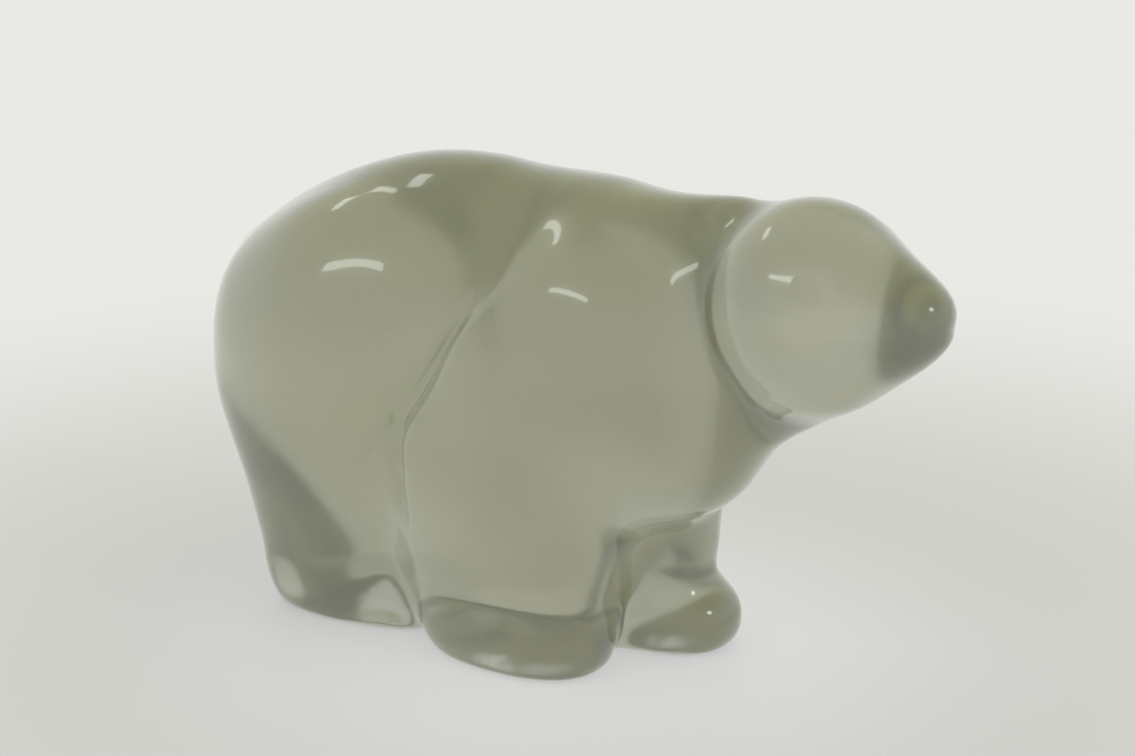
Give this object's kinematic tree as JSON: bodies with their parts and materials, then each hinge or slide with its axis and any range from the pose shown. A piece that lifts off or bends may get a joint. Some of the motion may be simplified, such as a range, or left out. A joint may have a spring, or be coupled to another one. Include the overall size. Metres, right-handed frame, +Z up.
{
  "type": "glass polar bear figurine",
  "caption": "Solid clear glass polar bear figurine on all fours, a smooth rounded ornament or paperweight that rests on its flat soles.",
  "frame": {"origin": "on the floor under the middle of the figurine's bounding box", "axes": "+X towards the nose, +Y towards the bear's left flank, +Z up"},
  "size_m": [0.1402, 0.0528, 0.0831],
  "materials": {
    "clear_glass": "polished, clear with a faint grey-green cast"
  },
  "bodies": {
    "root": {"polar_bear": "clear_glass"}
  },
  "joints": []
}
